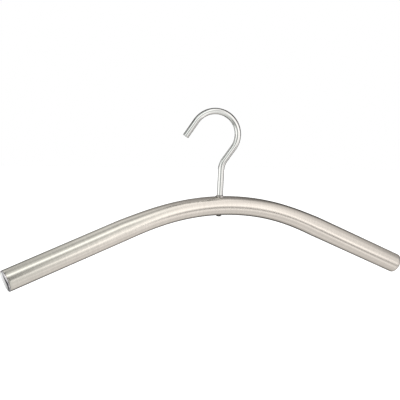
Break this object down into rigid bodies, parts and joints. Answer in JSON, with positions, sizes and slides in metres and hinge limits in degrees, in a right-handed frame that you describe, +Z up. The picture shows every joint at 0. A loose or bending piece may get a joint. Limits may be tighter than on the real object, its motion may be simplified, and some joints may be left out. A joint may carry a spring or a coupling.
{
  "type": "clothes hanger",
  "caption": "Metal clothes hanger: an arched round tube with capped ends that swivels under a bent wire hook.",
  "frame": {"origin": "highest point inside the hook's crown, where a rail carries the hanger", "axes": "+X along the tube towards the right arm, +Y straight back through the tube's width, +Z up along the hook's shank"},
  "size_m": [0.4346, 0.026, 0.1666],
  "materials": {
    "brushed_tube": "fine brushed, brushed round the tube",
    "cap_steel": "polished",
    "bush_steel": "satin",
    "washer_steel": "plain",
    "hook_wire": "bright drawn wire"
  },
  "bodies": {
    "hook": {"hook": "hook_wire"},
    "tube": {"tube": "brushed_tube", "end_cap_left": "cap_steel", "end_cap_right": "cap_steel", "top_bush": "bush_steel", "shoulder_washer": "washer_steel"}
  },
  "joints": [
    {"name": "hook_swivel", "type": "hinge", "parent": "hook", "child": "tube", "pos_m": [0.00722, -0.00263, -0.08707], "axis": [0, 0, 1], "continuous": true}
  ]
}
